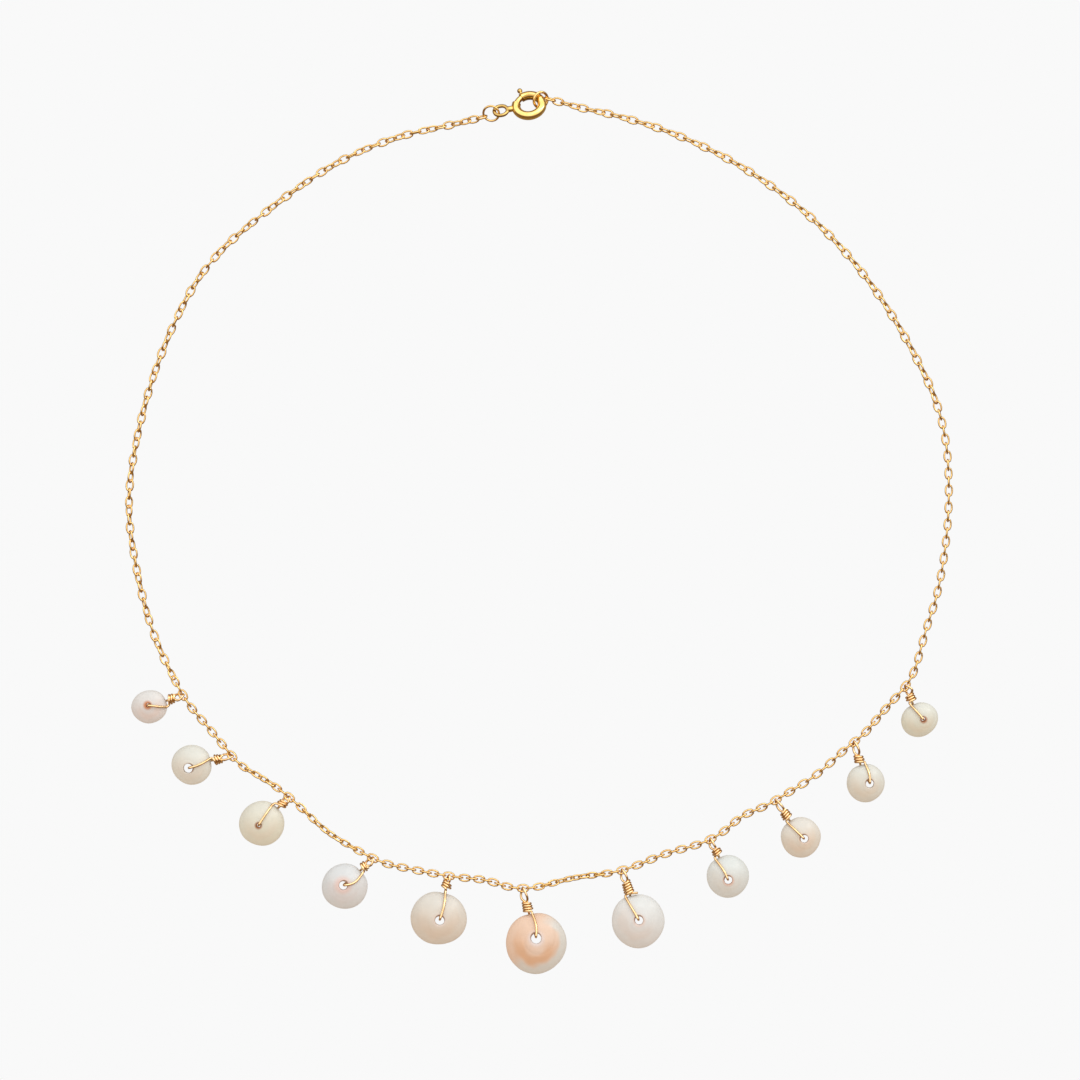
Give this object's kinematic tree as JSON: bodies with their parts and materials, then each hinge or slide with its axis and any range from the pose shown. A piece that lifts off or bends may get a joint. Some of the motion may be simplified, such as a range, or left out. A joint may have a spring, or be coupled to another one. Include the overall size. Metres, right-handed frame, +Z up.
{
  "type": "shell necklace",
  "caption": "Fine gold chain necklace with a spring ring clasp and small round worn shells, each pierced and hung on its own coiled gold wire; lies flat as an open loop.",
  "frame": {"origin": "centre of the footprint, on the surface that the necklace lies on", "axes": "+Z up from the surface, +Y from the shells towards the clasp, +X to the right of the loop seen from above"},
  "size_m": [0.1343, 0.1442, 0.0045],
  "materials": {
    "gold_chain": "polished gold plate",
    "gold_wire": "polished gold plate",
    "gold_clasp": "bright polished gold plate",
    "shell_white": "worn shell, silky matte, white",
    "shell_cream": "worn shell, silky matte, cream",
    "shell_beige": "worn shell, silky matte, beige",
    "shell_rose": "worn shell, silky matte, faint rose"
  },
  "bodies": {
    "necklace": {"chain": "gold_chain", "clasp_ring": "gold_clasp", "end_ring": "gold_chain", "jump_ring": "gold_chain", "shell_01": "shell_rose", "shell_02": "shell_beige", "shell_03": "shell_cream", "shell_04": "shell_white", "shell_05": "shell_beige", "shell_06": "shell_white", "shell_07": "shell_white", "shell_08": "shell_white", "shell_09": "shell_beige", "shell_10": "shell_cream", "shell_11": "shell_cream", "wire_01": "gold_wire", "wire_02": "gold_wire", "wire_03": "gold_wire", "wire_04": "gold_wire", "wire_05": "gold_wire", "wire_06": "gold_wire", "wire_07": "gold_wire", "wire_08": "gold_wire", "wire_09": "gold_wire", "wire_10": "gold_wire", "wire_11": "gold_wire"},
    "clasp_bolt": {"clasp_bolt": "gold_clasp"}
  },
  "joints": [
    {"name": "bolt_turn", "type": "hinge", "parent": "necklace", "child": "clasp_bolt", "pos_m": [-0.00162, 0.06926, 0.00251], "axis": [0.1061, -0.5781, -0.809], "range_deg": [0, 47], "stiffness_Nm_per_rad": 0.0015, "springref_deg": -8.59}
  ]
}
